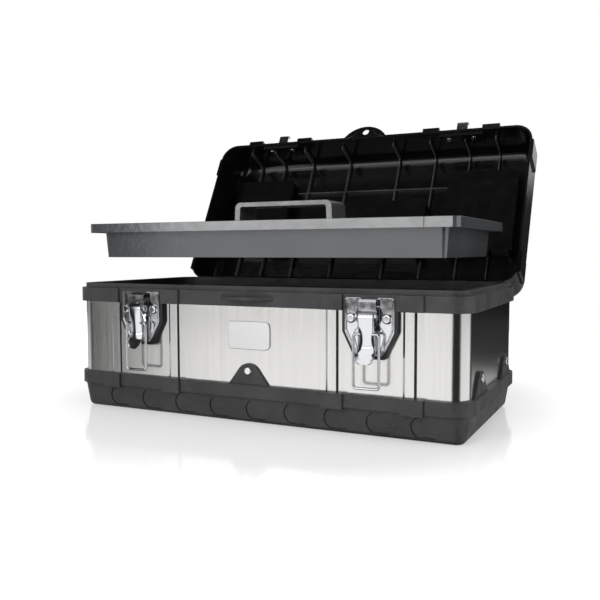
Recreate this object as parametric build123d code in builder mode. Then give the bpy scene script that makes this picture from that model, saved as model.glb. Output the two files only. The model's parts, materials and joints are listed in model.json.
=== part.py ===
from build123d import *
import math
import os

# A 16 inch tool box: a moulded base and collar joined by a stainless wrap, with a hinged lid,
# two draw latches, a lift-out tray, organiser wells in the lid and a folding carry handle.
# +X runs along the length, the front is at -Y, +Z is up, and the origin is the middle of the
# underside. Everything on the lid is drawn closed, then turned about the hinge to stand open.

# ---- Driving dimensions, in millimetres and degrees ----
LENGTH = 410.0
DEPTH = 200.0
CORNER = 20.0

BASE_BAND_LOW = 24.6
BASE_BAND_TOP = 36.7
COLLAR_LOW = 108.7
COLLAR_TOP = 122.5
LIP_TOP = 127.0

WALL = 4.0
FLOOR = 3.5
TUB_INSET = 4.0
TUB_TAPER = 4.0
TUB_ROUND = 5.0
TUB_CORNER = 12.0
CAVITY_INSET = 12.0
BAND_LEDGE = 28.0

SHEET = 1.0
STEEL_LENGTH = LENGTH - 2 * WALL
STEEL_DEPTH = DEPTH - 2 * WALL
STEEL_CORNER = CORNER - WALL
STEEL_FRONT = -STEEL_DEPTH / 2
REAR_SEAM = 165.0

LEDGE_LOW = 114.0
LEDGE_TOP = 118.0
LEDGE_LENGTH = 368.0
LEDGE_DEPTH = 170.0
LIP_LENGTH = 402.0
LIP_DEPTH = 192.0
LIP_CORNER = 16.0
MOUTH_LENGTH = 388.0
MOUTH_DEPTH = 188.0
MOUTH_CORNER = 12.0

# Raised blocks flank each latch on the base band, the collar and the lid.
LATCH_X = 119.0
BLOCK_CENTRES = (84.5, 156.0)
BLOCK_WIDTH = 20.0
BLOCK_PROUD = 2.5

# Pressed ribs in the steel beside each latch.
RIB_CENTRES = (83.0, 153.0)
RIB_FOOT = 12.0
RIB_CREST = 8.0
RIB_PROUD = 1.2

# Grooves moulded in the base.
GROOVE_PITCH = 39.6
GROOVE_WIDTH = 1.4
GROOVE_DEEP = 1.3
GROOVE_BOW = 5.5
GROOVE_FOOT = 15.0
GROOVE_HIGH = -3.5
GROOVE_LOW = -21.0
FRONT_GROOVES = 9
FRONT_GROOVE_START = -163.0
SIDE_GROOVES = 4
SIDE_GROOVE_START = -57.0

# Tabs that rise from the base band over the steel, each with one rivet.
TAB_THICK = 2.2
TAB_WIDTH = 43.0
SIDE_TAB_WIDTH = 48.0
TAB_ROUND = 12.0
TAB_PEAK_Z = 56.3
SIDE_TAB_PEAK_Z = 57.5
TAB_RIVET_Z = 49.4
SIDE_RIVET_Z = 50.6
SIDE_TAB_Y = 54.0
RIVET_R = 3.9
RIVET_PROUD = 1.8

# Plain badge plate.
BADGE_WIDTH = 44.0
BADGE_HEIGHT = 26.0
BADGE_CORNER = 5.0
BADGE_THICK = 1.2
BADGE_Z = 82.0

# Rear hinge.
HINGE_Y = 103.0
HINGE_Z = COLLAR_TOP
KNUCKLE_R = 4.5
KNUCKLE_ROOM = 5.0
PIN_R = 2.0
PIN_PLAY = 0.05
HINGE_CENTRES = (-120.0, 120.0)
HINGE_HALF = 32.0
LID_KNUCKLE_HALF = 13.0
KNUCKLE_GAP = 0.5
OPEN_ANGLE = 117.2

# Padlock tabs on the collar and the lid.
PADLOCK_Y = -106.0
PADLOCK_R = 4.5
PADLOCK_TAB_WIDTH = 56.0
PADLOCK_TAB_TIP = -113.5
COLLAR_TAB_Z = 115.0
TAB_PLATE = 3.0
GUSSET_X = (-19.0, 17.0)
GUSSET_THICK = 2.0
GUSSET_HIGH = 6.5
GUSSET_REACH = 5.0
GUARD_Y = (-66.0, 74.0)
GUARD_SIZE = (4.4, 26.0, 30.0)
KEEPER_NUT = (3.0, 1.2)
KEEPER_DOME = (3.2, 1.3)

# Latch.
SPACER_THICK = 4.2
PLATE_THICK = 1.2
PLATE_BACK = STEEL_FRONT - SPACER_THICK
PLATE_FACE = PLATE_BACK - PLATE_THICK
PLATE_TOP = 120.0
PLATE_WAIST = 91.0
PLATE_FOOT = 71.0
PLATE_HALF = 22.0
PLATE_FOOT_HALF = 14.0
SPACER_BORDER = 3.0
LATCH_RIVET_X = 16.0
LATCH_RIVET_Z = 102.8
LATCH_RIVET_R = 4.7
LEVER_Y = -107.5
LEVER_Z = 105.0
LEVER_R = 3.4
LEVER_HALF = 7.3
LEVER_BLANK = 18.0
LEVER_CHEEK = (6.4, 7.0)
LEVER_SHOULDER_Z = 94.0
LEVER_WAIST = ((5.6, 84.0), (6.2, 74.0))
LEVER_TIP_Z = 64.5
LEVER_LIP_Z = 70.0
LATCH_PIN_R = 1.5
EAR_THICK = 1.3
EAR_IN = 7.8
EAR_TOP_R = 3.2
EAR_FOOT = 17.0
HOOD_PROUD = 5.4
HOOD_SLOPE = 1.8
HOOD_LOW = 109.3
HOOD_TOP = 118.8
BAIL_WIRE_R = 1.2
BAIL_HALF = 11.3
BAIL_PIVOT_Z = 90.0
BAIL_DROP = 45.7
BAIL_Y = -108.6
BAIL_END = 5.0
BAIL_BEND = 2.6
LATCH_RIVET_PROUD = 2.8

# Lid, with heights counted from the hinge axis.
LID_LENGTH = 408.0
LID_DEPTH = 198.0
LID_CORNER = 20.0
LID_LOW = COLLAR_TOP + 0.5
LID_TOP = 176.5
LID_WALL = 2.4
LID_ROUND = 14.0
LID_BLOCK_HIGH = 32.0
LID_BLOCK_PROUD = 4.6
LID_RIB = 1.6
LID_RIB_HIGH = 5.0
LID_RIBS_X = (-167.0, -131.0, -88.0, -34.0, 34.0, 81.0, 124.0, 160.0)
CROSS_RIB_Y = -48.0

WELL_X = 146.0
WELL_Y = -9.5
WELL_LENGTH = 78.0
WELL_DEPTH = 101.0
WELL_FLOOR = COLLAR_TOP + 35.0
RECESS_LENGTH = 160.0
RECESS_LOW_Y = -22.0
RECESS_HIGH_Y = 52.0
RECESS_FLOOR = COLLAR_TOP + 33.0

KEEPER_X = 120.0
POCKET_WALL = LID_WALL - 0.4
POCKET_LENGTH = 48.0
POCKET_DEEP = 3.0
POCKET_FACE = -LID_DEPTH / 2 + POCKET_DEEP
POCKET_LOW = LID_LOW + 7.0
POCKET_TOP = COLLAR_TOP + 22.0
KEEPER_Z = COLLAR_TOP + 9.4
KEEPER_SHEET = 1.4
KEEPER_WIDTH = 13.0
KEEPER_REACH = 19.0
KEEPER_RIVET_X = 15.0
KEEPER_RIVET_Z = COLLAR_TOP + 12.4
KEEPER_RIVET_R = 1.5

PANEL_LENGTH = 192.0
PANEL_DEPTH = 150.0

COVER_LENGTH = 84.0
COVER_DEPTH = 107.0
COVER_THICK = 2.2
COVER_AXIS_X = 101.5
COVER_KNUCKLE_R = 2.1
COVER_PIN_R = 1.0
COVER_HINGES_Y = (-42.0, 23.0)
COVER_KNUCKLE_HALF = 6.0
COVER_EAR = 4.0
EAR_FAR = COVER_KNUCKLE_HALF + 0.3 + COVER_EAR
COVER_AXIS_Z = LID_TOP + 2.4

HANDLE_PIVOT_Y = -6.0
HANDLE_PIVOT_Z = COLLAR_TOP + 44.0
HANDLE_REACH = 42.0
HANDLE_HALF = 77.0
HANDLE_ARM = 9.0
HANDLE_THICK = 12.0
HANDLE_PIN_R = 3.0
GRIP_HALF = 52.0
GRIP_R = 8.0

# Tray, drawn where it is held above the box.
TRAY_LENGTH = 384.0
TRAY_DEPTH = 184.0
TRAY_CORNER = 7.0
TRAY_TOP = 187.0
TRAY_RIM = 9.0
RIM_LOW = TRAY_TOP - TRAY_RIM
TRAY_LOW = 153.0
TUB_LENGTH = 362.0
TUB_DEPTH = 166.0
TRAY_DRAFT = 3.0
TRAY_WALL = 2.4
TRAY_NOTCH_X = 163.0
TRAY_HANDLE_LENGTH = 112.0
TRAY_HANDLE_LOW_Y = -30.0
TRAY_HANDLE_DEPTH = 34.0
TRAY_HANDLE_TOP = 208.0
TRAY_LEG = 6.5
TRAY_BAR = 4.5

os.makedirs("parts", exist_ok=True)


def keep(piece, name):
    """Labels a finished piece and writes it as its own STEP file."""
    piece.label = name
    export_step(piece, f"parts/{name}.step")


def opened(piece):
    """Turns a piece that is drawn on the closed lid to the open lid's place."""
    hinge = Axis((0, HINGE_Y, HINGE_Z), (-1, 0, 0))
    return piece.rotate(hinge, OPEN_ANGLE)


def side_name(sign):
    """Names the side of the box that a sign of X stands for."""
    return "right" if sign > 0 else "left"


# ---- Shared planes and profiles ----
def facing(x, y, z, out):
    """A plane at a point that looks outwards along the direction out."""
    across = (1, 0, 0) if abs(out[0]) < 0.5 else (0, 1, 0)
    return Plane(origin=(x, y, z), x_dir=across, z_dir=out)


def tab_profile(width, foot_z, peak_z, radius):
    """A tab outline that narrows from a wide foot to a round peak."""
    with BuildSketch() as outline:
        with Locations((0, peak_z - radius)):
            Circle(radius)
        with Locations((0, foot_z + 0.5)):
            Rectangle(width, 1.0)
        make_hull(outline.edges(), mode=Mode.REPLACE)
    return outline.sketch


def tapered_block(length, depth, corner, low, high, inset):
    """A round-cornered block whose underside is smaller than its top by inset on each side."""
    with BuildPart() as block:
        with BuildSketch(Plane.XY.offset(low)):
            RectangleRounded(length - 2 * inset, depth - 2 * inset, max(corner - inset, 1.0))
        with BuildSketch(Plane.XY.offset(high)):
            RectangleRounded(length, depth, corner)
        loft()
    return block.part


def latch_blocks(front_y, low, high, side, proud):
    """The four raised blocks on one long side; side is -1 at the front and 1 at the rear."""
    with BuildPart() as blocks:
        for centre in BLOCK_CENTRES:
            for sign in (-1, 1):
                y = front_y + side * (proud / 2 - 1.0)
                with Locations((sign * centre, y, (low + high) / 2)):
                    Box(BLOCK_WIDTH, proud + 2.0, high - low)
    return blocks.part


# ---- Base ----
def groove_outline():
    """One bracket-shaped groove, an arc with a short foot line, drawn on its wall's plane."""
    middle = (GROOVE_HIGH + GROOVE_LOW) / 2
    with BuildSketch() as groove:
        with BuildLine() as line:
            arc = ThreePointArc((GROOVE_BOW, GROOVE_HIGH), (0, middle), (GROOVE_BOW, GROOVE_LOW))
            Line(arc @ 1, (GROOVE_BOW + GROOVE_FOOT, GROOVE_LOW))
        trace(line.wire(), GROOVE_WIDTH)
    return groove.sketch


def base_grooves():
    """Grooves all round the tub, pressed in square to its sloping walls."""
    slope = math.degrees(math.atan2(TUB_TAPER, BASE_BAND_LOW))
    front = facing(0, STEEL_FRONT, BASE_BAND_LOW, (0, -1, 0))
    right = facing(STEEL_LENGTH / 2, 0, BASE_BAND_LOW, (1, 0, 0))
    rows = (
        (front, FRONT_GROOVES, FRONT_GROOVE_START),
        (right, SIDE_GROOVES, SIDE_GROOVE_START),
    )
    bracket = groove_outline()
    with BuildPart() as grooves:
        for plane, count, start in rows:
            tilted = plane.rotated((slope, 0, 0))
            for n in range(count):
                with BuildSketch(tilted):
                    with Locations((start + n * GROOVE_PITCH, 0)):
                        add(bracket)
                extrude(amount=GROOVE_DEEP, both=True)
        add(grooves.part.rotate(Axis.Z, 180))
    return grooves.part


def side_tabs():
    """The rivet tabs: one at the front and the rear, two at each end."""
    profile = tab_profile(TAB_WIDTH, BASE_BAND_TOP - 2.0, TAB_PEAK_Z, TAB_ROUND)
    side_profile = tab_profile(SIDE_TAB_WIDTH, BASE_BAND_TOP - 2.0, SIDE_TAB_PEAK_Z, TAB_ROUND)
    with BuildPart() as tabs:
        with BuildSketch(facing(0, STEEL_FRONT, 0, (0, -1, 0))):
            add(profile)
        extrude(amount=TAB_THICK)
        for y in (-SIDE_TAB_Y, SIDE_TAB_Y):
            with BuildSketch(facing(STEEL_LENGTH / 2, y, 0, (1, 0, 0))):
                add(side_profile)
            extrude(amount=TAB_THICK)
        add(tabs.part.rotate(Axis.Z, 180))
    return tabs.part


with BuildPart() as base_tray:
    tub_length = LENGTH - 2 * TUB_INSET
    tub_depth = DEPTH - 2 * TUB_INSET
    add(tapered_block(tub_length, tub_depth, TUB_CORNER, 0, BASE_BAND_LOW, TUB_TAPER))
    underside = base_tray.faces().sort_by(Axis.Z)[0]
    fillet(underside.edges(), radius=TUB_ROUND)
    add(base_grooves(), mode=Mode.SUBTRACT)
    with BuildSketch(Plane.XY.offset(BASE_BAND_LOW)):
        RectangleRounded(LENGTH, DEPTH, CORNER)
    extrude(amount=BASE_BAND_TOP - BASE_BAND_LOW)
    for side in (-1, 1):
        add(latch_blocks(side * DEPTH / 2, BASE_BAND_LOW - 1.5, BASE_BAND_TOP, side, BLOCK_PROUD))
    with BuildSketch(Plane.XY.offset(FLOOR)):
        RectangleRounded(LENGTH - 2 * CAVITY_INSET, DEPTH - 2 * CAVITY_INSET, CORNER - CAVITY_INSET)
    extrude(amount=BASE_BAND_TOP, mode=Mode.SUBTRACT)
    with BuildSketch(Plane.XY.offset(BAND_LEDGE)):
        RectangleRounded(STEEL_LENGTH, STEEL_DEPTH, STEEL_CORNER)
    extrude(amount=BASE_BAND_TOP, mode=Mode.SUBTRACT)
    add(side_tabs())
keep(base_tray.part, "base_tray")


# ---- Stainless sheets ----
def pressed_ribs():
    """Upright ribs with sloping flanks on the front sheet, between the base and the collar."""
    with BuildPart() as ribs:
        for centre in RIB_CENTRES:
            for sign in (-1, 1):
                x = sign * centre
                with BuildSketch(Plane.XY.offset(BASE_BAND_TOP)):
                    with BuildLine():
                        Polyline(
                            (x - RIB_FOOT / 2, STEEL_FRONT),
                            (x - RIB_CREST / 2, STEEL_FRONT - RIB_PROUD),
                            (x + RIB_CREST / 2, STEEL_FRONT - RIB_PROUD),
                            (x + RIB_FOOT / 2, STEEL_FRONT),
                            close=True,
                        )
                    make_face()
                extrude(amount=COLLAR_LOW - BASE_BAND_TOP)
    return ribs.part


def sheet_ring():
    """The whole stainless band, before it is parted at the two rear seams."""
    with BuildPart() as ring:
        with BuildSketch(Plane.XY.offset(BAND_LEDGE)):
            RectangleRounded(STEEL_LENGTH, STEEL_DEPTH, STEEL_CORNER)
            RectangleRounded(
                STEEL_LENGTH - 2 * SHEET,
                STEEL_DEPTH - 2 * SHEET,
                STEEL_CORNER - SHEET,
                mode=Mode.SUBTRACT,
            )
        extrude(amount=LEDGE_LOW - BAND_LEDGE)
    return ring.part


def rear_zone():
    """The space that holds the flat rear sheet and nothing else of the band."""
    with BuildPart() as zone:
        with Locations((0, STEEL_DEPTH / 2, COLLAR_LOW / 2)):
            Box(2 * REAR_SEAM, STEEL_DEPTH / 2, 2 * COLLAR_LOW)
    return zone.part


with BuildPart() as steel_front_wrap:
    add(sheet_ring())
    add(rear_zone(), mode=Mode.SUBTRACT)
    add(pressed_ribs())
keep(steel_front_wrap.part, "steel_front_wrap")

with BuildPart() as steel_rear_panel:
    add(sheet_ring())
    add(rear_zone(), mode=Mode.INTERSECT)
keep(steel_rear_panel.part, "steel_rear_panel")


# ---- Collar ----
def knuckle_spans(centre):
    """Start and end of each knuckle of one hinge, as (collar spans, lid span)."""
    inner = LID_KNUCKLE_HALF + KNUCKLE_GAP
    collar = ((centre - HINGE_HALF, centre - inner), (centre + inner, centre + HINGE_HALF))
    return collar, (centre - LID_KNUCKLE_HALF, centre + LID_KNUCKLE_HALF)


def along_x(start, end, radius, y=HINGE_Y, z=HINGE_Z):
    """A rod along X between two stations."""
    with BuildPart() as rod:
        with BuildSketch(Plane(origin=(start, y, z), x_dir=(0, 1, 0), z_dir=(1, 0, 0))):
            Circle(radius)
        extrude(amount=end - start)
    return rod.part


def collar_knuckles():
    """Fixed knuckles and the webs under them that join the collar's rear face."""
    with BuildPart() as knuckles:
        for centre in HINGE_CENTRES:
            for start, end in knuckle_spans(centre)[0]:
                add(along_x(start, end, KNUCKLE_R))
                with Locations(((start + end) / 2, HINGE_Y - 1.5, HINGE_Z - 3.0)):
                    Box(end - start, 8.0, 5.0)
    return knuckles.part


def padlock_tab(low, front_y):
    """A bell-shaped tab that stands out from a front face, with a hole for a padlock."""
    with BuildPart() as tab:
        with BuildSketch(Plane.XY.offset(low)):
            with BuildLine():
                half = PADLOCK_TAB_WIDTH / 2
                bow = ThreePointArc((-half, front_y), (0, PADLOCK_TAB_TIP), (half, front_y))
                Line(bow @ 1, bow @ 0)
            make_face()
            with Locations((0, PADLOCK_Y)):
                Circle(PADLOCK_R, mode=Mode.SUBTRACT)
        extrude(amount=TAB_PLATE)
    return tab.part


with BuildPart() as top_collar:
    with BuildSketch(Plane.XY.offset(COLLAR_LOW)):
        RectangleRounded(LENGTH, DEPTH, CORNER)
    extrude(amount=COLLAR_TOP - COLLAR_LOW)
    for side in (-1, 1):
        add(latch_blocks(side * DEPTH / 2, COLLAR_LOW, COLLAR_TOP, side, BLOCK_PROUD))
    with BuildSketch(Plane.XY.offset(COLLAR_TOP)):
        RectangleRounded(LIP_LENGTH, LIP_DEPTH, LIP_CORNER)
    extrude(amount=LIP_TOP - COLLAR_TOP)
    with BuildSketch(Plane.XY.offset(COLLAR_LOW)):
        RectangleRounded(STEEL_LENGTH, STEEL_DEPTH, STEEL_CORNER)
    extrude(amount=LEDGE_LOW - COLLAR_LOW, mode=Mode.SUBTRACT)
    with BuildSketch(Plane.XY.offset(LEDGE_LOW)):
        RectangleRounded(LEDGE_LENGTH, LEDGE_DEPTH, MOUTH_CORNER)
    extrude(amount=LIP_TOP, mode=Mode.SUBTRACT)
    with BuildSketch(Plane.XY.offset(LEDGE_TOP)):
        RectangleRounded(MOUTH_LENGTH, MOUTH_DEPTH, MOUTH_CORNER)
    extrude(amount=LIP_TOP, mode=Mode.SUBTRACT)
    add(padlock_tab(COLLAR_TAB_Z, -DEPTH / 2 + 1.0))
    for centre in HINGE_CENTRES:
        start, end = knuckle_spans(centre)[1]
        add(along_x(start - KNUCKLE_GAP, end + KNUCKLE_GAP, KNUCKLE_ROOM), mode=Mode.SUBTRACT)
    add(collar_knuckles())
    for centre in HINGE_CENTRES:
        bore = along_x(centre - HINGE_HALF, centre + HINGE_HALF, PIN_R)
        add(bore, mode=Mode.SUBTRACT)
keep(top_collar.part, "top_collar")

for centre in HINGE_CENTRES:
    pin = along_x(centre - HINGE_HALF, centre + HINGE_HALF, PIN_R)
    keep(pin, f"hinge_pin_{side_name(centre)}")


# ---- Rivets and badge on the body ----
def dome(plane, radius, proud):
    """A dome head that stands on a plane at its origin."""
    with BuildPart() as head:
        with BuildSketch(plane):
            Circle(radius)
        extrude(amount=proud)
        rim = head.faces().filter_by(lambda f: f.geom_type == GeomType.PLANE)
        outer = rim.sort_by(lambda f: -(f.center() - plane.origin).length)[0]
        fillet(outer.edges(), radius=proud * 0.8)
    return head.part


tab_face = STEEL_DEPTH / 2 + TAB_THICK
end_face = STEEL_LENGTH / 2 + TAB_THICK
keep(dome(facing(0, -tab_face, TAB_RIVET_Z, (0, -1, 0)), RIVET_R, RIVET_PROUD), "front_tab_rivet")
keep(dome(facing(0, tab_face, TAB_RIVET_Z, (0, 1, 0)), RIVET_R, RIVET_PROUD), "rear_tab_rivet")
for sign in (-1, 1):
    with BuildPart() as end_rivets:
        for y in (-SIDE_TAB_Y, SIDE_TAB_Y):
            add(dome(facing(sign * end_face, y, SIDE_RIVET_Z, (sign, 0, 0)), RIVET_R, RIVET_PROUD))
    keep(end_rivets.part, f"{side_name(sign)}_tab_rivets")

with BuildPart() as badge_plate:
    with BuildSketch(facing(0, STEEL_FRONT, BADGE_Z, (0, -1, 0))):
        RectangleRounded(BADGE_WIDTH, BADGE_HEIGHT, BADGE_CORNER)
    extrude(amount=BADGE_THICK)
    chamfer(badge_plate.faces().sort_by(Axis.Y)[0].edges(), length=0.4)
keep(badge_plate.part, "badge_plate")


# ---- Latches ----
def latch_outline(border):
    """The latch plate's outline, wide above its waist and narrow at its foot."""
    half = PLATE_HALF + border
    foot = PLATE_FOOT_HALF + border
    with BuildSketch() as outline:
        with BuildLine():
            Polyline(
                (-half, PLATE_TOP),
                (half, PLATE_TOP),
                (half, PLATE_WAIST),
                (foot, PLATE_FOOT + 4.0),
                (foot - 3.0, PLATE_FOOT - border),
                (-foot + 3.0, PLATE_FOOT - border),
                (-foot, PLATE_FOOT + 4.0),
                (-half, PLATE_WAIST),
                close=True,
            )
        make_face()
        fillet(outline.vertices(), radius=2.5)
    return outline.sketch


def latch_plane(x, y):
    """A plane that faces the front, at a latch's centre line."""
    return Plane(origin=(x, y, 0), x_dir=(1, 0, 0), z_dir=(0, -1, 0))


def latch_ears(x):
    """Two upright ears that carry the lever's pin, and the hood above them."""
    with BuildPart() as ears:
        for sign in (-1, 1):
            near = x + sign * (EAR_IN + EAR_THICK / 2) - EAR_THICK / 2
            with BuildSketch(Plane(origin=(near, 0, 0), x_dir=(0, 1, 0), z_dir=(1, 0, 0))):
                with Locations((LEVER_Y, LEVER_Z)):
                    Circle(EAR_TOP_R)
                with Locations((PLATE_FACE + 0.2, LEVER_Z)):
                    Rectangle(0.4, EAR_FOOT)
                make_hull(mode=Mode.REPLACE)
            extrude(amount=EAR_THICK)
        with BuildSketch(Plane(origin=(x - EAR_IN, 0, 0), x_dir=(0, 1, 0), z_dir=(1, 0, 0))):
            with BuildLine():
                Polyline(
                    (PLATE_FACE, HOOD_LOW),
                    (PLATE_FACE - HOOD_PROUD, HOOD_LOW),
                    (PLATE_FACE - HOOD_PROUD, HOOD_TOP - HOOD_SLOPE),
                    (PLATE_FACE - HOOD_PROUD + HOOD_SLOPE, HOOD_TOP),
                    (PLATE_FACE, HOOD_TOP),
                    close=True,
                )
            make_face()
        extrude(amount=2 * EAR_IN)
    return ears.part


def lever_profile():
    """The lever's side view: a barrel round the pin, a hollow back and a curled tip."""
    with BuildSketch() as side:
        with BuildLine():
            Polyline(
                (LEVER_Y, LEVER_Z + LEVER_R),
                (LEVER_Y - LEVER_R, LEVER_Z),
                (LEVER_Y - 3.0, 97.0),
                (LEVER_Y - 2.0, 84.0),
                (LEVER_Y - 1.8, 77.0),
                (LEVER_Y - 4.6, 69.8),
                (LEVER_Y - 7.4, 66.0),
                (LEVER_Y - 5.8, 65.0),
                (LEVER_Y - 1.6, 68.8),
                (LEVER_Y + 1.2, 76.5),
                (LEVER_Y + 2.4, 84.0),
                (LEVER_Y + 2.6, 97.0),
                (LEVER_Y + LEVER_R, LEVER_Z),
                close=True,
            )
        make_face()
        with Locations((LEVER_Y, LEVER_Z)):
            Circle(LEVER_R)
    return side.sketch


def lever_front():
    """The lever's front view: straight at the pin, waisted below, round at its tip."""
    shoulder = (LEVER_HALF, LEVER_SHOULDER_Z)
    lip = (LEVER_HALF, LEVER_LIP_Z)
    with BuildSketch() as front:
        with BuildLine():
            top = Line((-LEVER_HALF, LEVER_Z + 5.0), (LEVER_HALF, LEVER_Z + 5.0))
            Line(top @ 1, shoulder)
            right_edge = Spline(shoulder, *LEVER_WAIST, lip)
            mirror(right_edge, about=Plane.YZ)
            ThreePointArc(lip, (0, LEVER_TIP_Z), (-LEVER_HALF, LEVER_LIP_Z))
            Line((-LEVER_HALF, LEVER_SHOULDER_Z), top @ 0)
        make_face()
    return front.sketch


def latch_lever(x):
    """A pressed lever with side cheeks at the bail's height and bores for pin and bail."""
    start = x - LEVER_BLANK / 2
    with BuildPart() as lever:
        with BuildSketch(Plane(origin=(start, 0, 0), x_dir=(0, 1, 0), z_dir=(1, 0, 0))):
            add(lever_profile())
        extrude(amount=LEVER_BLANK)
        with BuildSketch(latch_plane(x, LEVER_Y - LEVER_BLANK / 2)):
            add(lever_front())
        extrude(amount=-LEVER_BLANK, mode=Mode.INTERSECT)
        with Locations((x, BAIL_Y, BAIL_PIVOT_Z)):
            Box(2 * LEVER_HALF, *LEVER_CHEEK)
        add(along_x(x - 12, x + 12, LATCH_PIN_R + PIN_PLAY, LEVER_Y, LEVER_Z), mode=Mode.SUBTRACT)
        bore = along_x(x - 12, x + 12, BAIL_WIRE_R + PIN_PLAY, BAIL_Y, BAIL_PIVOT_Z)
        add(bore, mode=Mode.SUBTRACT)
    return lever.part


def latch_bail(x):
    """A wire loop whose two ends turn in to sit in the lever's bore."""
    low = BAIL_PIVOT_Z - BAIL_DROP
    with BuildPart() as bail:
        with BuildLine(Plane(origin=(x, BAIL_Y, 0), x_dir=(1, 0, 0), z_dir=(0, -1, 0))) as path:
            FilletPolyline(
                (-BAIL_END, BAIL_PIVOT_Z),
                (-BAIL_HALF, BAIL_PIVOT_Z),
                (-BAIL_HALF, low),
                (BAIL_HALF, low),
                (BAIL_HALF, BAIL_PIVOT_Z),
                (BAIL_END, BAIL_PIVOT_Z),
                radius=BAIL_BEND,
            )
        with BuildSketch(Plane(origin=path.line @ 0, z_dir=path.line % 0)):
            Circle(BAIL_WIRE_R)
        sweep()
    return bail.part


for sign in (-1, 1):
    x = sign * LATCH_X
    side = side_name(sign)
    with BuildPart() as spacer:
        with BuildSketch(latch_plane(x, STEEL_FRONT)):
            add(latch_outline(SPACER_BORDER))
        extrude(amount=SPACER_THICK)
        with Locations((x, STEEL_FRONT, COLLAR_LOW + 10.0)):
            Box(2 * DEPTH, DEPTH, 20.0, mode=Mode.SUBTRACT)
    keep(spacer.part, f"latch_spacer_{side}")

    with BuildPart() as plate:
        with BuildSketch(latch_plane(x, PLATE_BACK)):
            add(latch_outline(0.0))
        extrude(amount=PLATE_THICK)
        with Locations((x, PLATE_BACK, PLATE_TOP)):
            Box(15.0, 4.0, 2.4, mode=Mode.SUBTRACT)
        with BuildSketch(latch_plane(x + 8.0, PLATE_BACK)):
            with Locations((0, 94.5)):
                Circle(2.4)
        extrude(amount=PLATE_THICK, mode=Mode.SUBTRACT)
        add(latch_ears(x))
        add(along_x(x - 12, x + 12, LATCH_PIN_R, LEVER_Y, LEVER_Z), mode=Mode.SUBTRACT)
    keep(plate.part, f"latch_plate_{side}")

    with BuildPart() as rivets:
        for offset in (-LATCH_RIVET_X, LATCH_RIVET_X):
            place = facing(x + offset, PLATE_FACE, LATCH_RIVET_Z, (0, -1, 0))
            add(dome(place, LATCH_RIVET_R, LATCH_RIVET_PROUD))
    keep(rivets.part, f"latch_rivets_{side}")

    pin_half = EAR_IN + EAR_THICK
    keep(along_x(x - pin_half, x + pin_half, LATCH_PIN_R, LEVER_Y, LEVER_Z), f"latch_pin_{side}")
    keep(latch_lever(x), f"latch_lever_{side}")
    keep(latch_bail(x), f"latch_bail_{side}")


# ---- Lid, drawn closed ----
def lid_form(inset, low):
    """The lid's rounded block, set in from its outside by inset."""
    with BuildPart() as form:
        with BuildSketch(Plane.XY.offset(low)):
            RectangleRounded(LID_LENGTH - 2 * inset, LID_DEPTH - 2 * inset, LID_CORNER - inset)
        extrude(amount=LID_TOP - inset - low)
        fillet(form.faces().sort_by(Axis.Z)[-1].edges(), radius=LID_ROUND - inset)
    return form.part


def lid_ribs():
    """Stiffening ribs that run up the lid's walls and across the inside of its top."""
    with BuildPart() as ribs:
        for x in LID_RIBS_X:
            with Locations((x, 0, LID_TOP - 20.0)):
                Box(LID_RIB, LID_DEPTH, 40.0)
        with Locations((0, CROSS_RIB_Y, LID_TOP - 10.0)):
            Box(2 * COVER_AXIS_X, LID_RIB, 20.0)
        add(lid_form(LID_WALL, LID_LOW), mode=Mode.INTERSECT)
        add(lid_form(LID_WALL + LID_RIB_HIGH, LID_LOW - 5.0), mode=Mode.SUBTRACT)
        add(compartment_blocks(), mode=Mode.SUBTRACT)
        add(keeper_pockets(POCKET_WALL), mode=Mode.SUBTRACT)
    return ribs.part


def sunk_box(x, y, length, depth, floor, grow):
    """The block of a sunken compartment, larger than its hollow by grow on each side."""
    with BuildPart() as sunk:
        with BuildSketch(Plane.XY.offset(floor)):
            with Locations((x, y)):
                RectangleRounded(length + 2 * grow, depth + 2 * grow, 4.0 + grow)
        extrude(amount=LID_TOP - floor)
    return sunk.part


COMPARTMENTS = {
    "organiser_bin_left": (-WELL_X, WELL_Y, WELL_LENGTH, WELL_DEPTH, WELL_FLOOR),
    "organiser_bin_right": (WELL_X, WELL_Y, WELL_LENGTH, WELL_DEPTH, WELL_FLOOR),
    "handle_well": (
        0.0,
        (RECESS_LOW_Y + RECESS_HIGH_Y) / 2,
        RECESS_LENGTH,
        RECESS_HIGH_Y - RECESS_LOW_Y,
        RECESS_FLOOR,
    ),
}


def compartment_blocks():
    """The room that the organiser bins and the handle's well take up in the lid."""
    with BuildPart() as blocks:
        for place in COMPARTMENTS.values():
            add(sunk_box(*place, LID_WALL))
    return blocks.part


def compartment(x, y, length, depth, floor):
    """A sunken tub that opens at the lid's top."""
    with BuildPart() as tub:
        add(sunk_box(x, y, length, depth, floor, LID_WALL))
        add(sunk_box(x, y, length, depth, floor + LID_WALL, 0.0), mode=Mode.SUBTRACT)
    return tub.part


def keeper_pockets(grow):
    """Shallow pockets in the front wall for the keepers, or their walls when grown."""
    deep = POCKET_DEEP + grow
    low = POCKET_LOW - grow
    high = POCKET_TOP + grow
    with BuildPart() as pockets:
        for sign in (-1, 1):
            with Locations((sign * KEEPER_X, -LID_DEPTH / 2 + deep / 2, (low + high) / 2)):
                Box(POCKET_LENGTH + 2 * grow, deep, high - low)
    return pockets.part


def lid_knuckles():
    """The lid's own knuckle of each hinge, with its web to the rear wall."""
    with BuildPart() as knuckles:
        for centre in HINGE_CENTRES:
            start, end = knuckle_spans(centre)[1]
            add(along_x(start, end, KNUCKLE_R))
            with Locations((centre, HINGE_Y - 1.5, LID_LOW + 3.2)):
                Box(end - start, 9.0, 6.4)
    return knuckles.part


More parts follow.
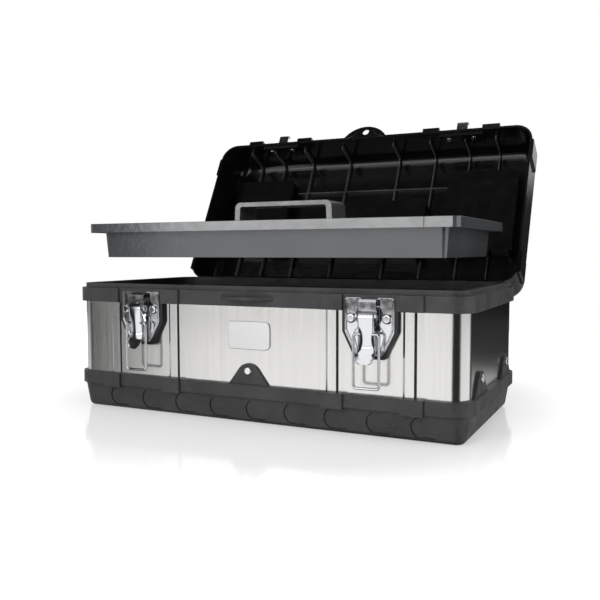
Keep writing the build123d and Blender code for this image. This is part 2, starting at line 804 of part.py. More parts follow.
def corner_guards():
    """Thickened pads on the lid's end walls, near its corners."""
    with BuildPart() as guards:
        for sign in (-1, 1):
            for y in GUARD_Y:
                with Locations((sign * LID_LENGTH / 2, y, LID_LOW + GUARD_SIZE[2] / 2)):
                    Box(*GUARD_SIZE)
        fillet(guards.edges().filter_by(Axis.Z), radius=2.0)
    return guards.part


def tab_gussets():
    """Two small triangular webs over the lid's padlock tab."""
    foot_y = -LID_DEPTH / 2 + 0.5
    foot_z = LID_LOW + TAB_PLATE - 0.5
    with BuildPart() as gussets:
        for x in GUSSET_X:
            with BuildSketch(Plane(origin=(x, 0, 0), x_dir=(0, 1, 0), z_dir=(1, 0, 0))):
                with BuildLine():
                    Polyline(
                        (foot_y, foot_z),
                        (foot_y, foot_z + GUSSET_HIGH),
                        (foot_y - GUSSET_REACH, foot_z),
                        close=True,
                    )
                make_face()
            extrude(amount=GUSSET_THICK)
    return gussets.part


def along_y(x, z, start, end, radius):
    """A rod along Y between two stations."""
    with BuildPart() as rod:
        with BuildSketch(Plane(origin=(x, start, z), x_dir=(1, 0, 0), z_dir=(0, 1, 0))):
            Circle(radius)
        extrude(amount=end - start)
    return rod.part


def cover_ears():
    """Ears on the lid's top that carry the organiser covers' pins."""
    with BuildPart() as ears:
        for sign in (-1, 1):
            for centre in COVER_HINGES_Y:
                for start in (centre - EAR_FAR, centre + EAR_FAR - COVER_EAR):
                    x = sign * COVER_AXIS_X
                    add(along_y(x, COVER_AXIS_Z, start, start + COVER_EAR, COVER_KNUCKLE_R))
                    with Locations((x, start + COVER_EAR / 2, LID_TOP + 1.0)):
                        Box(2 * COVER_KNUCKLE_R, COVER_EAR, 2.8)
    return ears.part


def cover_pins(sign, radius):
    """The two pins of one organiser cover."""
    with BuildPart() as pins:
        for centre in COVER_HINGES_Y:
            x = sign * COVER_AXIS_X
            add(along_y(x, COVER_AXIS_Z, centre - EAR_FAR, centre + EAR_FAR, radius))
    return pins.part


def keeper_rivet_rods(sign, radius, start, end):
    """Rods through the front wall at one keeper's two rivets."""
    with BuildPart() as rods:
        for offset in (-KEEPER_RIVET_X, KEEPER_RIVET_X):
            place = facing(sign * KEEPER_X + offset, start, KEEPER_RIVET_Z, (0, -1, 0))
            with BuildSketch(place):
                Circle(radius)
            extrude(amount=start - end)
    return rods.part


def handle_pin_rods(radius):
    """The carry handle's two pins."""
    with BuildPart() as rods:
        for sign in (-1, 1):
            ends = (sign * (HANDLE_HALF - HANDLE_ARM), sign * (RECESS_LENGTH / 2 + LID_WALL))
            add(along_x(min(ends), max(ends), radius, HANDLE_PIVOT_Y, HANDLE_PIVOT_Z))
    return rods.part


with BuildPart() as lid_shell:
    add(lid_form(0.0, LID_LOW))
    add(latch_blocks(-LID_DEPTH / 2, LID_LOW, LID_LOW + LID_BLOCK_HIGH, -1, LID_BLOCK_PROUD))
    add(corner_guards())
    add(lid_form(LID_WALL, LID_LOW - 5.0), mode=Mode.SUBTRACT)
    add(compartment_blocks(), mode=Mode.SUBTRACT)
    add(keeper_pockets(POCKET_WALL))
    add(keeper_pockets(0.0), mode=Mode.SUBTRACT)
    add(padlock_tab(LID_LOW, -LID_DEPTH / 2 + 1.0))
    add(tab_gussets())
    for centre in HINGE_CENTRES:
        for start, end in knuckle_spans(centre)[0]:
            room = along_x(start - KNUCKLE_GAP, end + KNUCKLE_GAP, KNUCKLE_ROOM)
            add(room, mode=Mode.SUBTRACT)
    add(lid_knuckles())
    for centre in HINGE_CENTRES:
        bore = along_x(centre - HINGE_HALF, centre + HINGE_HALF, PIN_R + PIN_PLAY)
        add(bore, mode=Mode.SUBTRACT)
    add(cover_ears())
    for sign in (-1, 1):
        add(cover_pins(sign, COVER_PIN_R), mode=Mode.SUBTRACT)
        holes = keeper_rivet_rods(sign, KEEPER_RIVET_R, POCKET_FACE + LID_WALL, POCKET_FACE)
        add(holes, mode=Mode.SUBTRACT)
keep(opened(lid_shell.part), "lid_shell")
keep(opened(lid_ribs()), "lid_ribs")

for name, place in COMPARTMENTS.items():
    tub = compartment(*place)
    if name == "handle_well":
        tub = tub - handle_pin_rods(HANDLE_PIN_R)
    keep(opened(tub), name)

with BuildPart() as lid_steel_panel:
    with BuildSketch(Plane.XY.offset(LID_TOP)):
        RectangleRounded(PANEL_LENGTH, PANEL_DEPTH, 6.0)
        with Locations((0, (RECESS_LOW_Y + RECESS_HIGH_Y) / 2)):
            RectangleRounded(
                RECESS_LENGTH + 4.0,
                RECESS_HIGH_Y - RECESS_LOW_Y + 4.0,
                6.0,
                mode=Mode.SUBTRACT,
            )
    extrude(amount=SHEET)
keep(opened(lid_steel_panel.part), "lid_steel_panel")

for sign in (-1, 1):
    side = side_name(sign)
    x = sign * KEEPER_X
    with BuildPart() as keeper:
        base_z = (KEEPER_Z + POCKET_TOP) / 2
        with Locations((x, POCKET_FACE - KEEPER_SHEET / 2, base_z)):
            Box(POCKET_LENGTH - 6.0, KEEPER_SHEET, POCKET_TOP - KEEPER_Z - 2.0)
        hook_plane = Plane(origin=(x - KEEPER_WIDTH / 2, 0, 0), x_dir=(0, 1, 0), z_dir=(1, 0, 0))
        with BuildSketch(hook_plane):
            with BuildLine() as hook:
                FilletPolyline(
                    (POCKET_FACE - KEEPER_SHEET / 2, POCKET_TOP - 3.0),
                    (POCKET_FACE - KEEPER_SHEET / 2, KEEPER_Z),
                    (POCKET_FACE - KEEPER_REACH, KEEPER_Z),
                    (POCKET_FACE - KEEPER_REACH, KEEPER_Z + 4.6),
                    radius=1.2,
                )
            trace(hook.wire(), KEEPER_SHEET)
        extrude(amount=KEEPER_WIDTH)
        add(keeper_rivet_rods(sign, KEEPER_RIVET_R, POCKET_FACE, POCKET_FACE - 5.0), mode=Mode.SUBTRACT)
    keep(opened(keeper.part), f"keeper_{side}")

    with BuildPart() as keeper_rivets:
        inside = POCKET_FACE + POCKET_WALL
        outside = POCKET_FACE - KEEPER_SHEET
        add(keeper_rivet_rods(sign, KEEPER_RIVET_R, inside, outside))
        for offset in (-KEEPER_RIVET_X, KEEPER_RIVET_X):
            add(dome(facing(x + offset, inside, KEEPER_RIVET_Z, (0, 1, 0)), *KEEPER_NUT))
            add(dome(facing(x + offset, outside, KEEPER_RIVET_Z, (0, -1, 0)), *KEEPER_DOME))
    keep(opened(keeper_rivets.part), f"keeper_rivets_{side}")

    with BuildPart() as cover:
        middle = sign * (COVER_AXIS_X + COVER_KNUCKLE_R + 0.5 + COVER_LENGTH / 2)
        with BuildSketch(Plane.XY.offset(LID_TOP + 0.3)):
            with Locations((middle, WELL_Y)):
                RectangleRounded(COVER_LENGTH, COVER_DEPTH, 5.0)
            with Locations((middle + sign * COVER_LENGTH / 2, WELL_Y)):
                RectangleRounded(6.0, 24.0, 2.0)
        extrude(amount=COVER_THICK)
        chamfer(cover.faces().sort_by(Axis.Z)[-1].edges(), length=0.7)
        for centre in COVER_HINGES_Y:
            start = centre - COVER_KNUCKLE_HALF
            end = centre + COVER_KNUCKLE_HALF
            add(along_y(sign * COVER_AXIS_X, COVER_AXIS_Z, start, end, COVER_KNUCKLE_R))
            with Locations((sign * (COVER_AXIS_X + 2.2), centre, LID_TOP + 1.3)):
                Box(4.4, end - start, 2.0)
        add(cover_pins(sign, COVER_PIN_R + PIN_PLAY), mode=Mode.SUBTRACT)
    keep(opened(cover.part), f"organiser_cover_{side}")
    keep(opened(cover_pins(sign, COVER_PIN_R)), f"organiser_pins_{side}")

with BuildPart() as carry_handle:
    for sign in (-1, 1):
        inner = min(sign * HANDLE_HALF, sign * (HANDLE_HALF - HANDLE_ARM))
        with BuildSketch(Plane(origin=(inner, 0, 0), x_dir=(0, 1, 0), z_dir=(1, 0, 0))):
            with Locations((HANDLE_PIVOT_Y, HANDLE_PIVOT_Z)):
                SlotCenterToCenter(2 * HANDLE_REACH, HANDLE_THICK)
            with Locations((HANDLE_PIVOT_Y - HANDLE_REACH, HANDLE_PIVOT_Z)):
                Rectangle(2 * HANDLE_REACH - HANDLE_THICK, 20.0, mode=Mode.SUBTRACT)
            with Locations((HANDLE_PIVOT_Y, HANDLE_PIVOT_Z)):
                Circle(HANDLE_THICK / 2)
        extrude(amount=HANDLE_ARM)
    bar_y = HANDLE_PIVOT_Y + HANDLE_REACH
    add(along_x(-HANDLE_HALF, HANDLE_HALF, HANDLE_THICK / 2, bar_y, HANDLE_PIVOT_Z))
    add(handle_pin_rods(HANDLE_PIN_R + PIN_PLAY), mode=Mode.SUBTRACT)
keep(opened(carry_handle.part), "carry_handle")

with BuildPart() as handle_grip:
    add(along_x(-GRIP_HALF, GRIP_HALF, GRIP_R, bar_y, HANDLE_PIVOT_Z))
    fillet(handle_grip.edges(), radius=1.6)
    core = along_x(-GRIP_HALF, GRIP_HALF, HANDLE_THICK / 2, bar_y, HANDLE_PIVOT_Z)
    add(core, mode=Mode.SUBTRACT)
keep(opened(handle_grip.part), "handle_grip")
keep(opened(handle_pin_rods(HANDLE_PIN_R)), "handle_pins")


# ---- Tray, drawn where it is held above the box ----
with BuildPart() as tray_tub:
    add(tapered_block(TUB_LENGTH, TUB_DEPTH, TRAY_CORNER, TRAY_LOW, TRAY_TOP, TRAY_DRAFT))
    with BuildSketch(Plane.XY.offset(TRAY_TOP - TRAY_WALL)):
        RectangleRounded(TRAY_LENGTH, TRAY_DEPTH, TRAY_CORNER)
    extrude(amount=TRAY_WALL)
    with BuildSketch(Plane.XY.offset(RIM_LOW)):
        RectangleRounded(TRAY_LENGTH, TRAY_DEPTH, TRAY_CORNER)
        RectangleRounded(
            TRAY_LENGTH - 2 * TRAY_WALL,
            TRAY_DEPTH - 2 * TRAY_WALL,
            TRAY_CORNER - TRAY_WALL,
            mode=Mode.SUBTRACT,
        )
    extrude(amount=TRAY_RIM)
    inner_length = TUB_LENGTH - 2 * TRAY_WALL
    inner_depth = TUB_DEPTH - 2 * TRAY_WALL
    inner_corner = TRAY_CORNER - TRAY_WALL
    tray_hollow = tapered_block(
        inner_length, inner_depth, inner_corner, TRAY_LOW + TRAY_WALL, TRAY_TOP, TRAY_DRAFT
    )
    add(tray_hollow, mode=Mode.SUBTRACT)
    for sign_x in (-1, 1):
        for sign_y in (-1, 1):
            with Locations((sign_x * TRAY_NOTCH_X, sign_y * TRAY_DEPTH / 2, TRAY_TOP - TRAY_RIM / 2)):
                Box(1.4, 1.6, TRAY_RIM, mode=Mode.SUBTRACT)
keep(tray_tub.part, "tray_tub")

with BuildPart() as tray_handle:
    front = Plane(origin=(0, TRAY_HANDLE_LOW_Y, 0), x_dir=(1, 0, 0), z_dir=(0, -1, 0))
    half = TRAY_HANDLE_LENGTH / 2
    floor = TRAY_LOW + TRAY_WALL
    with BuildSketch(front) as bridge:
        with BuildLine():
            Polyline(
                (-half, floor),
                (-half + 3.0, TRAY_HANDLE_TOP),
                (half - 3.0, TRAY_HANDLE_TOP),
                (half, floor),
                (half - TRAY_LEG, floor),
                (half - TRAY_LEG - 2.0, TRAY_HANDLE_TOP - TRAY_BAR),
                (-half + TRAY_LEG + 2.0, TRAY_HANDLE_TOP - TRAY_BAR),
                (-half + TRAY_LEG, floor),
                close=True,
            )
        make_face()
        fillet(bridge.vertices().filter_by(lambda v: v.Y > 206.0), radius=6.0)
        fillet(bridge.vertices().filter_by(lambda v: 200.0 < v.Y < 204.5), radius=2.5)
    extrude(amount=-TRAY_HANDLE_DEPTH)
keep(tray_handle.part, "tray_handle")
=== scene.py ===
import json
import math

import bmesh
import bpy
from mathutils import Matrix, Vector


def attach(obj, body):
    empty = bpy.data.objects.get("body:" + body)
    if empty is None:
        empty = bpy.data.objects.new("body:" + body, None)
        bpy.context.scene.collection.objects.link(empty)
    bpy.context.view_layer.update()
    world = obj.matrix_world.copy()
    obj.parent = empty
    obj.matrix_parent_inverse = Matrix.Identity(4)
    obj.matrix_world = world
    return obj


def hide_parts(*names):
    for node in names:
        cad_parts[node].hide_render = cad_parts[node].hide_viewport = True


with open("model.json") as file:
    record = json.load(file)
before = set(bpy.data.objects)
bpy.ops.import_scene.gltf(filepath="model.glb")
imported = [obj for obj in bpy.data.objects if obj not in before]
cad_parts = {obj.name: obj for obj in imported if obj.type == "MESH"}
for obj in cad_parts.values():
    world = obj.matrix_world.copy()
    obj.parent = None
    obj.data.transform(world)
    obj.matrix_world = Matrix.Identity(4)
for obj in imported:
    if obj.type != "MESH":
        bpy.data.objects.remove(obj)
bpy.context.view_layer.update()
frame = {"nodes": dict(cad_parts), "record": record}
NODES = frame["nodes"]

# Camera at the object's viewing angle: metres, degrees and millimetres for the lens.
CAMERA_AT = (0.3358, -0.6767, 0.1592)
CAMERA_YAW = 26.045
CAMERA_PITCH = 3.835
CAMERA_ROLL = -0.133
SENSOR = 36.0
LENS = 44.076


# ---- Camera, lights and floor ----
def make_camera():
    data = bpy.data.cameras.new("camera")
    data.sensor_width = SENSOR
    data.lens = LENS
    data.clip_start = 0.01
    data.clip_end = 20.0
    data.dof.use_dof = False
    cam = bpy.data.objects.new("camera", data)
    bpy.context.scene.collection.objects.link(cam)
    turn = Matrix.Rotation(math.radians(CAMERA_YAW), 4, "Z")
    tilt = Matrix.Rotation(math.radians(90 - CAMERA_PITCH), 4, "X")
    roll = Matrix.Rotation(math.radians(CAMERA_ROLL), 4, "Z")
    cam.matrix_world = Matrix.Translation(CAMERA_AT) @ turn @ tilt @ roll
    bpy.context.scene.camera = cam


def link(tree, a, b):
    tree.links.new(a, b)


def smooth_window(tree, value, low, high, soft):
    """A factor that is 1 while value lies between low and high, with soft edges."""
    parts = []
    for edge, ends in ((low, (0.0, 1.0)), (high, (1.0, 0.0))):
        step = tree.nodes.new("ShaderNodeMapRange")
        step.interpolation_type = "SMOOTHSTEP"
        step.inputs["From Min"].default_value = edge - soft
        step.inputs["From Max"].default_value = edge + soft
        step.inputs["To Min"].default_value = ends[0]
        step.inputs["To Max"].default_value = ends[1]
        link(tree, value, step.inputs["Value"])
        parts.append(step.outputs["Result"])
    return math_node(tree, "MULTIPLY", parts[0], parts[1])


def math_node(tree, operation, a, b=None, c=None):
    node = tree.nodes.new("ShaderNodeMath")
    node.operation = operation
    for socket, value in zip(node.inputs, (a, b, c)):
        if value is None:
            continue
        if isinstance(value, (int, float)):
            socket.default_value = value
        else:
            link(tree, value, socket)
    return node.outputs[0]


# Soft boxes round the object: from and to angles, from the front towards +X, in degrees,
# lowest and highest direction height, softness in degrees and in height, and brightness.
SOFT_BOXES = (
    (-38.3, 8.0, -0.7, 0.68, 2.0, 0.04, 1.24),
    (-37.0, 5.0, 0.004, 0.085, 2.0, 0.006, 3.3),
    (-128.0, -62.0, -0.7, 0.4, 14.0, 0.04, 0.75),
    (58.0, 128.0, -0.7, 0.4, 6.0, 0.05, 1.15),
    (150.0, 190.0, -0.9, -0.16, 20.0, 0.004, 0.55),
    (120.0, 181.0, 0.09, 0.75, 12.0, 0.03, 1.0),
    (-181.0, -120.0, 0.09, 0.75, 12.0, 0.03, 1.0),
    (-90.0, 90.0, 0.9, 1.2, 8.0, 0.03, 0.8),
)
# A dark line just under the horizon: lowest and highest height, softness and depth.
HORIZON_LINE = (-0.088, -0.05, 0.006, 0.88)
ROOM_LIGHT = 0.03


def make_world():
    """Soft boxes set by world direction for light and reflections, and white for the camera."""
    world = bpy.data.worlds.new("studio")
    bpy.context.scene.world = world
    world.use_nodes = True
    tree = world.node_tree
    tree.nodes.clear()
    coord = tree.nodes.new("ShaderNodeTexCoord")
    split = tree.nodes.new("ShaderNodeSeparateXYZ")
    link(tree, coord.outputs["Generated"], split.inputs[0])
    height = split.outputs["Z"]
    ahead = math_node(tree, "MULTIPLY", split.outputs["Y"], -1.0)
    angle = math_node(tree, "ARCTAN2", split.outputs["X"], ahead)
    total = ROOM_LIGHT
    for start, end, low, high, soft, soft_height, strength in SOFT_BOXES:
        ends = [math.radians(v) for v in (start, end, soft)]
        across = smooth_window(tree, angle, *ends)
        upright = smooth_window(tree, height, low, high, soft_height)
        box = math_node(tree, "MULTIPLY", across, upright)
        total = math_node(tree, "MULTIPLY_ADD", box, strength, total)
    low, high, soft_height, depth = HORIZON_LINE
    line = smooth_window(tree, height, low, high, soft_height)
    dimmed = math_node(tree, "MULTIPLY_ADD", line, -depth, 1.0)
    total = math_node(tree, "MULTIPLY", total, dimmed)
    studio = tree.nodes.new("ShaderNodeBackground")
    link(tree, total, studio.inputs["Strength"])
    white = tree.nodes.new("ShaderNodeBackground")
    white.inputs["Strength"].default_value = 1.0
    white.inputs["Color"].default_value = (1, 1, 1, 1)
    rays = tree.nodes.new("ShaderNodeLightPath")
    mix = tree.nodes.new("ShaderNodeMixShader")
    out = tree.nodes.new("ShaderNodeOutputWorld")
    link(tree, rays.outputs["Is Camera Ray"], mix.inputs[0])
    link(tree, studio.outputs[0], mix.inputs[1])
    link(tree, white.outputs[0], mix.inputs[2])
    link(tree, mix.outputs[0], out.inputs["Surface"])


# Fill lights, which give no highlights: name, place, aim, size in metres, and power in watts.
FILL_LIGHTS = (
    ("front_fill", (-0.5, -1.5, 0.7), (0, 0, 0.1), (1.6, 1.0), 14.0),
    ("right_fill", (1.5, -0.2, 0.7), (0, 0, 0.1), (1.2, 1.0), 16.0),
    ("top_fill", (0.0, -0.1, 1.7), (0, 0, 0), (1.8, 1.4), 10.0),
    ("near_fill", (0.1, -0.62, 0.34), (0.06, -0.09, 0.16), (0.3, 0.2), 1.6),
)


def area_light(name, at, aim, size, power):
    data = bpy.data.lights.new(name, "AREA")
    data.shape = "RECTANGLE"
    data.size, data.size_y = size
    data.energy = power
    lamp = bpy.data.objects.new(name, data)
    bpy.context.scene.collection.objects.link(lamp)
    lamp.location = at
    lamp.rotation_mode = "QUATERNION"
    lamp.rotation_quaternion = (Vector(aim) - Vector(at)).to_track_quat("-Z", "Y")
    lamp.visible_glossy = False


def make_lights():
    for light in FILL_LIGHTS:
        area_light(*light)


# The floor's extent, its distances in metres from the middle, and its glow and mirror there.
FLOOR_X = (-1.6, 1.1)
FLOOR_Y = (-1.8, 0.8)
FLOOR_Z = -0.0002
FLOOR_GREY = 0.55
FLOOR_GLOW = (0.6, 1.3)
FLOOR_GLOW_REACH = (0.24, 0.6)
FLOOR_MIRROR = (0.36, 0.0)
FLOOR_MIRROR_REACH = (0.22, 0.4)
FLOOR_MIRROR_ROUGH = 0.12


def make_floor():
    mesh = bpy.data.meshes.new("floor")
    turns = ((0, 0), (1, 0), (1, 1), (0, 1))
    points = [(FLOOR_X[x], FLOOR_Y[y], FLOOR_Z) for x, y in turns]
    mesh.from_pydata(points, [], [(0, 1, 2, 3)])
    floor = bpy.data.objects.new("floor", mesh)
    bpy.context.scene.collection.objects.link(floor)
    floor.visible_glossy = False
    mat = bpy.data.materials.new("floor")
    mat.use_nodes = True
    tree = mat.node_tree
    bsdf = tree.nodes["Principled BSDF"]
    bsdf.inputs["Base Color"].default_value = (FLOOR_GREY, FLOOR_GREY, FLOOR_GREY, 1)
    bsdf.inputs["Roughness"].default_value = 1.0
    bsdf.inputs["Specular IOR Level"].default_value = 0.0
    bsdf.inputs["Emission Color"].default_value = (1, 1, 1, 1)
    coord = tree.nodes.new("ShaderNodeTexCoord")
    reach = tree.nodes.new("ShaderNodeVectorMath")
    reach.operation = "LENGTH"
    link(tree, coord.outputs["Object"], reach.inputs[0])
    distance = reach.outputs["Value"]
    glow = spread(tree, distance, *FLOOR_GLOW, *FLOOR_GLOW_REACH)
    link(tree, glow, bsdf.inputs["Emission Strength"])
    mirror = tree.nodes.new("ShaderNodeBsdfGlossy")
    mirror.inputs["Roughness"].default_value = FLOOR_MIRROR_ROUGH
    mix = tree.nodes.new("ShaderNodeMixShader")
    link(tree, spread(tree, distance, *FLOOR_MIRROR, *FLOOR_MIRROR_REACH), mix.inputs[0])
    link(tree, bsdf.outputs[0], mix.inputs[1])
    link(tree, mirror.outputs[0], mix.inputs[2])
    link(tree, mix.outputs[0], tree.nodes["Material Output"].inputs["Surface"])
    mesh.materials.append(mat)


# ---- Materials ----
def new_material(name, color, rough, metallic=0.0, specular=0.5):
    mat = bpy.data.materials.new(name)
    mat.use_nodes = True
    bsdf = mat.node_tree.nodes["Principled BSDF"]
    bsdf.inputs["Base Color"].default_value = (*color, 1)
    bsdf.inputs["Roughness"].default_value = rough
    bsdf.inputs["Metallic"].default_value = metallic
    bsdf.inputs["Specular IOR Level"].default_value = specular
    return mat, mat.node_tree, bsdf


def noise(tree, scale, detail=3.0, stretch=(1, 1, 1)):
    """Noise in the object's own metres, stretched along an axis by a smaller number."""
    coord = tree.nodes.new("ShaderNodeTexCoord")
    mapping = tree.nodes.new("ShaderNodeMapping")
    mapping.inputs["Scale"].default_value = stretch
    tex = tree.nodes.new("ShaderNodeTexNoise")
    tex.inputs["Scale"].default_value = scale
    tex.inputs["Detail"].default_value = detail
    link(tree, coord.outputs["Object"], mapping.inputs["Vector"])
    link(tree, mapping.outputs["Vector"], tex.inputs["Vector"])
    return tex.outputs["Fac"]


def spread(tree, value, low, high, from_low=0.3, from_high=0.7):
    """Maps a value on to a range."""
    ramp = tree.nodes.new("ShaderNodeMapRange")
    ramp.inputs["From Min"].default_value = from_low
    ramp.inputs["From Max"].default_value = from_high
    ramp.inputs["To Min"].default_value = low
    ramp.inputs["To Max"].default_value = high
    link(tree, value, ramp.inputs["Value"])
    return ramp.outputs["Result"]


# Radius in metres at which shading rounds a sharp edge.
EDGE_ROUND = 0.0005


def add_bump(tree, bsdf, height, strength, distance):
    """Bump on the surface, with its sharp edges slightly rounded to catch the light."""
    edge = tree.nodes.new("ShaderNodeBevel")
    edge.inputs["Radius"].default_value = EDGE_ROUND
    bump = tree.nodes.new("ShaderNodeBump")
    link(tree, edge.outputs["Normal"], bump.inputs["Normal"])
    bump.inputs["Strength"].default_value = strength
    bump.inputs["Distance"].default_value = distance
    link(tree, height, bump.inputs["Height"])
    link(tree, bump.outputs["Normal"], bsdf.inputs["Normal"])


def tint(tree, bsdf, value, dark, light):
    """Colours a surface between two colours by a value."""
    mix = tree.nodes.new("ShaderNodeMix")
    mix.data_type = "RGBA"
    mix.inputs["A"].default_value = (*dark, 1)
    mix.inputs["B"].default_value = (*light, 1)
    link(tree, value, mix.inputs["Factor"])
    link(tree, mix.outputs["Result"], bsdf.inputs["Base Color"])


def moulded_plastic(name, dark, light, rough, grain, bump, specular=0.5):
    """Injection-moulded plastic with a fine spark-eroded grain and faint cloudiness."""
    mat, tree, bsdf = new_material(name, dark, sum(rough) / 2, specular=specular)
    tint(tree, bsdf, spread(tree, noise(tree, 30.0, 4.0), 0.0, 1.0), dark, light)
    link(tree, spread(tree, noise(tree, 90.0, 3.0), *rough), bsdf.inputs["Roughness"])
    add_bump(tree, bsdf, noise(tree, grain, 2.0), bump, 0.4 / grain)
    return mat


def brushed_steel(name, color, rough, stretch=(1.0, 1.0, 0.012)):
    """Stainless sheet with fine straight brushing."""
    mat, tree, bsdf = new_material(name, color, sum(rough) / 2, metallic=1.0)
    lines = noise(tree, 2600.0, 2.0, stretch)
    broad = noise(tree, 380.0, 3.0, stretch)
    pale = tuple(min(1.0, c * 1.02) for c in color)
    deep = tuple(c * 0.97 for c in color)
    tint(tree, bsdf, spread(tree, broad, 0.0, 1.0), deep, pale)
    link(tree, spread(tree, lines, *rough), bsdf.inputs["Roughness"])
    add_bump(tree, bsdf, lines, 0.1, 0.00004)
    return mat


def chrome_plate(name, color, rough):
    """Bright plating over pressed steel, with a slight waviness."""
    mat, tree, bsdf = new_material(name, color, rough, metallic=1.0)
    marks = spread(tree, noise(tree, 220.0, 3.0), rough * 0.7, rough * 1.8)
    link(tree, marks, bsdf.inputs["Roughness"])
    add_bump(tree, bsdf, noise(tree, 60.0, 1.0), 0.07, 0.0008)
    return mat


# For plastics: darkest and lightest colour, roughness range, grain, bump strength, specular.
MATERIALS = {
    "base_plastic": moulded_plastic(
        "charcoal_plastic", (0.017, 0.0175, 0.0185), (0.027, 0.0275, 0.029),
        (0.36, 0.56), 620.0, 0.75
    ),
    "stainless": brushed_steel("brushed_stainless", (0.78, 0.772, 0.755), (0.15, 0.21)),
    "chrome": chrome_plate("chrome_plate", (0.8, 0.81, 0.83), 0.06),
    "lid_plastic": moulded_plastic(
        "black_gloss_plastic", (0.0015, 0.0015, 0.0017), (0.003, 0.003, 0.0032),
        (0.13, 0.2), 120.0, 0.05, 0.65
    ),
    # The lid's ribs: black plastic several times lighter than the lid, a painted highlight standing
    # in for light caught along the rib crests and sides.
    "rib_plastic_painted_highlight": moulded_plastic(
        "black_plastic_painted_highlight", (0.016, 0.016, 0.017), (0.05, 0.05, 0.052),
        (0.22, 0.34), 300.0, 0.1, 0.8
    ),
    "tray_plastic": moulded_plastic(
        "tray_plastic", (0.028, 0.031, 0.034), (0.034, 0.037, 0.04),
        (0.11, 0.16), 200.0, 0.03, 1.35
    ),
    "tray_handle_plastic": moulded_plastic(
        "tray_handle_plastic", (0.03, 0.031, 0.033), (0.038, 0.039, 0.041),
        (0.16, 0.24), 300.0, 0.06, 1.5
    ),
    "badge_finish": brushed_steel("badge_satin", (0.8, 0.8, 0.81), (0.22, 0.26), (0.02, 1.0, 1.0)),
    "grip_rubber": moulded_plastic(
        "grip_rubber", (0.012, 0.012, 0.013), (0.02, 0.02, 0.021),
        (0.6, 0.75), 1800.0, 0.4
    ),
    "pad_plastic": moulded_plastic(
        "pad_plastic", (0.005, 0.005, 0.006), (0.009, 0.009, 0.01),
        (0.35, 0.5), 900.0, 0.1
    ),
}


def paint_cad_nodes():
    for part in frame["record"]["subparts"]:
        node = NODES[part["node"]]
        # The lid's ribs take the lighter plastic, a painted highlight on the ribs.
        slot_name = "rib_plastic_painted_highlight" if part["node"] == "lid_ribs" else part["material_slot"]
        mat = MATERIALS[slot_name]
        for slot in node.material_slots:
            slot.material = mat
        if not node.material_slots:
            node.data.materials.append(mat)


# ---- Pressed latch parts, in millimetres ----
MM = 0.001
LATCH_X = 119.0
LEVER_Y = -107.5
LEVER_Z = 105.0
BARREL_R = 3.4
PLATE_FACE = -101.4
SHEET = 0.8
BARREL_START = -40.0
BARREL_TURN = 205.0

# Lever below its barrel: height, front face ahead of the pin, half width, crown and cheek depth.
LEVER_ROWS = (
    (103.0, -3.3, 7.0, 0.1, 0.6),
    (98.5, -3.1, 7.0, 0.3, 2.6),
    (94.0, -2.8, 7.1, 0.8, 3.4),
    (89.0, -2.4, 7.4, 1.4, 3.4),
    (84.0, -2.0, 7.7, 1.6, 3.2),
    (79.0, -1.8, 7.9, 1.3, 2.8),
    (75.0, -2.7, 8.1, 0.6, 1.8),
    (71.5, -4.0, 8.3, -0.3, 0.7),
    (68.5, -5.4, 8.0, -0.5, 0.4),
    (66.4, -6.4, 6.6, -0.3, 0.3),
    (65.2, -6.9, 4.2, -0.1, 0.2),
)
BARREL_STEPS = 12
ROW_STEPS = 5
ACROSS = 12
CHEEK_STEPS = 3


def between(rows, steps):
    """Smooth rows between the given ones, by Catmull-Rom interpolation."""
    result = []
    last = len(rows) - 1
    for n in range(last):
        before, start, end, after = (rows[min(max(k, 0), last)] for k in (n - 1, n, n + 1, n + 2))
        for step in range(steps):
            t = step / steps
            row = []
            for a, b, c, d in zip(before, start, end, after):
                curve = 2 * b + (c - a) * t + (2 * a - 5 * b + 4 * c - d) * t * t
                row.append(0.5 * (curve + (3 * b - a - 3 * c + d) * t ** 3))
            result.append(row)
    result.append(list(rows[-1]))
    return result


def lever_section(y, z, half, crown, cheek):
    """One row of the lever's sheet, from one cheek across the crowned front to the other."""
    row = []
    for n in range(CHEEK_STEPS, 0, -1):
        row.append((-half, y + crown + cheek * n / CHEEK_STEPS, z))
    for n in range(ACROSS + 1):
        u = 2 * n / ACROSS - 1
        row.append((half * u, y + crown * u * u, z))
    for n in range(1, CHEEK_STEPS + 1):
        row.append((half, y + crown + cheek * n / CHEEK_STEPS, z))
    return row


def sheet_object(name, rows, centre_x, material):
    """A sheet-metal object from rows of points, with smooth shading."""
    mesh = bpy.data.meshes.new(name)
    build = bmesh.new()
    grid = [[build.verts.new(((centre_x + x) * MM, y * MM, z * MM)) for x, y, z in r] for r in rows]
    for upper, lower in zip(grid, grid[1:]):
        for n in range(len(upper) - 1):
            build.faces.new((upper[n], lower[n], lower[n + 1], upper[n + 1]))
    bmesh.ops.recalc_face_normals(build, faces=build.faces)
    build.to_mesh(mesh)
    build.free()
    for face in mesh.polygons:
        face.use_smooth = True
    mesh.materials.append(material)
    obj = bpy.data.objects.new(name, mesh)
    bpy.context.scene.collection.objects.link(obj)
    return obj


def pressed_lever(side, centre_x):
    """The latch lever as a pressed sheet: rolled round its pin, crowned, with a curled tip."""
    rows = []
    for n in range(BARREL_STEPS + 1):
        turn = math.radians(BARREL_START + BARREL_TURN * n / BARREL_STEPS)
        y = LEVER_Y + BARREL_R * math.cos(turn)
        z = LEVER_Z + BARREL_R * math.sin(turn)
        rows.append(lever_section(y, z, LEVER_ROWS[0][2], 0.0, 0.0))
    for z, ahead, half, crown, cheek in between(LEVER_ROWS, ROW_STEPS):
        rows.append(lever_section(LEVER_Y + ahead, z, half, crown, cheek))
    lever = sheet_object(f"pressed_lever_{side}", rows, centre_x, MATERIALS["chrome"])
    thick = lever.modifiers.new("sheet", "SOLIDIFY")
    thick.thickness = SHEET * MM
    thick.offset = -1.0
    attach(lever, f"lever_{side}")
    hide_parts(f"latch_lever_{side}")


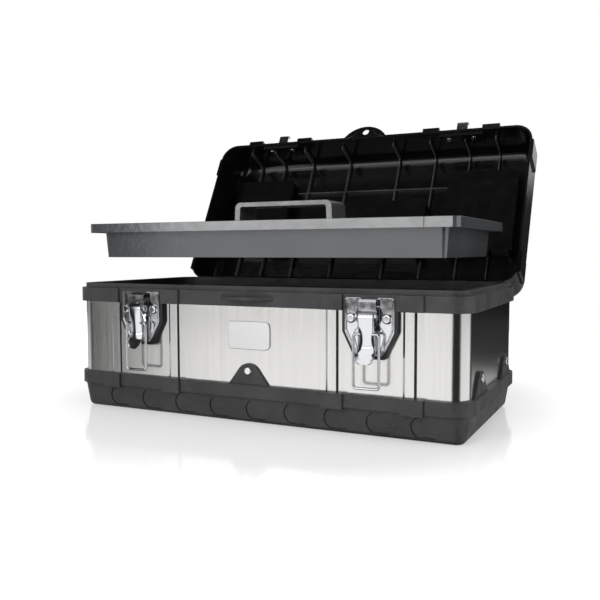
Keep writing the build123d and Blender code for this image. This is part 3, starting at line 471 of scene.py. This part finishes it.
def bead(name, points, radius, material, body):
    """A round raised bead that follows points, in millimetres."""
    curve = bpy.data.curves.new(name, "CURVE")
    curve.dimensions = "3D"
    curve.bevel_depth = radius * MM
    curve.bevel_resolution = 3
    curve.use_fill_caps = True
    spline = curve.splines.new("POLY")
    spline.points.add(len(points) - 1)
    for point, place in zip(spline.points, points):
        point.co = (*(v * MM for v in place), 1.0)
    curve.materials.append(material)
    obj = bpy.data.objects.new(name, curve)
    bpy.context.scene.collection.objects.link(obj)
    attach(obj, body)


def rounded(points, radius, steps=4):
    """Points with each inner corner replaced by a short arc-like run."""
    result = [Vector(points[0])]
    for before, corner, after in zip(points, points[1:], points[2:]):
        corner = Vector(corner)
        start = corner + (Vector(before) - corner).normalized() * radius
        end = corner + (Vector(after) - corner).normalized() * radius
        for n in range(steps + 1):
            t = n / steps
            result.append(start.lerp(corner, t).lerp(corner.lerp(end, t), t))
    result.append(Vector(points[-1]))
    return result


# Half outlines on the plate, across and up, with bead radii, bends and how far the rim sinks in.
RIM_OUTLINE = ((20.8, 118.6), (20.8, 92.4), (12.9, 75.8), (10.4, 72.2))
INNER_OUTLINE = ((9.9, 95.2), (13.4, 91.0), (13.2, 86.5), (10.6, 76.0))
RIM_RADIUS = 1.15
RIM_BEND = 2.0
RIM_SUNK = 0.5
CONTOUR_RADIUS = 0.6
CONTOUR_BEND = 1.6


def latch_relief(side, centre_x):
    """The raised rim and the pressed inner contour of a latch plate."""
    sunk = PLATE_FACE + RIM_SUNK
    right = [(centre_x + x, sunk, z) for x, z in RIM_OUTLINE]
    left = [(centre_x - x, sunk, z) for x, z in RIM_OUTLINE]
    outline = rounded(right + left[::-1], RIM_BEND)
    bead(f"latch_rim_{side}", outline, RIM_RADIUS, MATERIALS["chrome"], "box")
    for name, sign in (("inner", -1), ("outer", 1)):
        line = [(centre_x + sign * x, PLATE_FACE, z) for x, z in INNER_OUTLINE]
        contour = rounded(line, CONTOUR_BEND)
        bead(f"latch_contour_{name}_{side}", contour, CONTOUR_RADIUS, MATERIALS["chrome"], "box")


def make_latches():
    for side, sign in (("left", -1), ("right", 1)):
        pressed_lever(side, sign * LATCH_X)
        latch_relief(side, sign * LATCH_X)


# ---- Lid details, drawn closed and turned open, in millimetres ----
HINGE_AT = (0.0, 103.0, 122.5)
OPEN_ANGLE = 117.2
RIDGE_PLAN = ((9.5, -107.0), (15.0, -101.0), (25.0, -97.4))
RIDGE_Z = 123.7
RIDGE_RADIUS = 1.1
RIDGE_BEND = 4.0


def opened(points):
    """Points drawn on the closed lid, turned to the open lid's place."""
    hinge = Vector(HINGE_AT)
    turn = Matrix.Rotation(math.radians(-OPEN_ANGLE), 3, "X")
    return [turn @ (Vector(p) - hinge) + hinge for p in points]


def make_lid_details():
    """Stiffening ridges under the lid's padlock tab."""
    for side, sign in (("left", -1), ("right", 1)):
        closed = [(sign * x, y, RIDGE_Z) for x, y in RIDGE_PLAN]
        ridge = rounded(opened(closed), RIDGE_BEND)
        bead(f"tab_ridge_{side}", ridge, RIDGE_RADIUS, MATERIALS["lid_plastic"], "lid")


bpy.context.scene.view_settings.view_transform = "Standard"
make_camera()
make_world()
make_lights()
make_floor()
paint_cad_nodes()
make_latches()
make_lid_details()
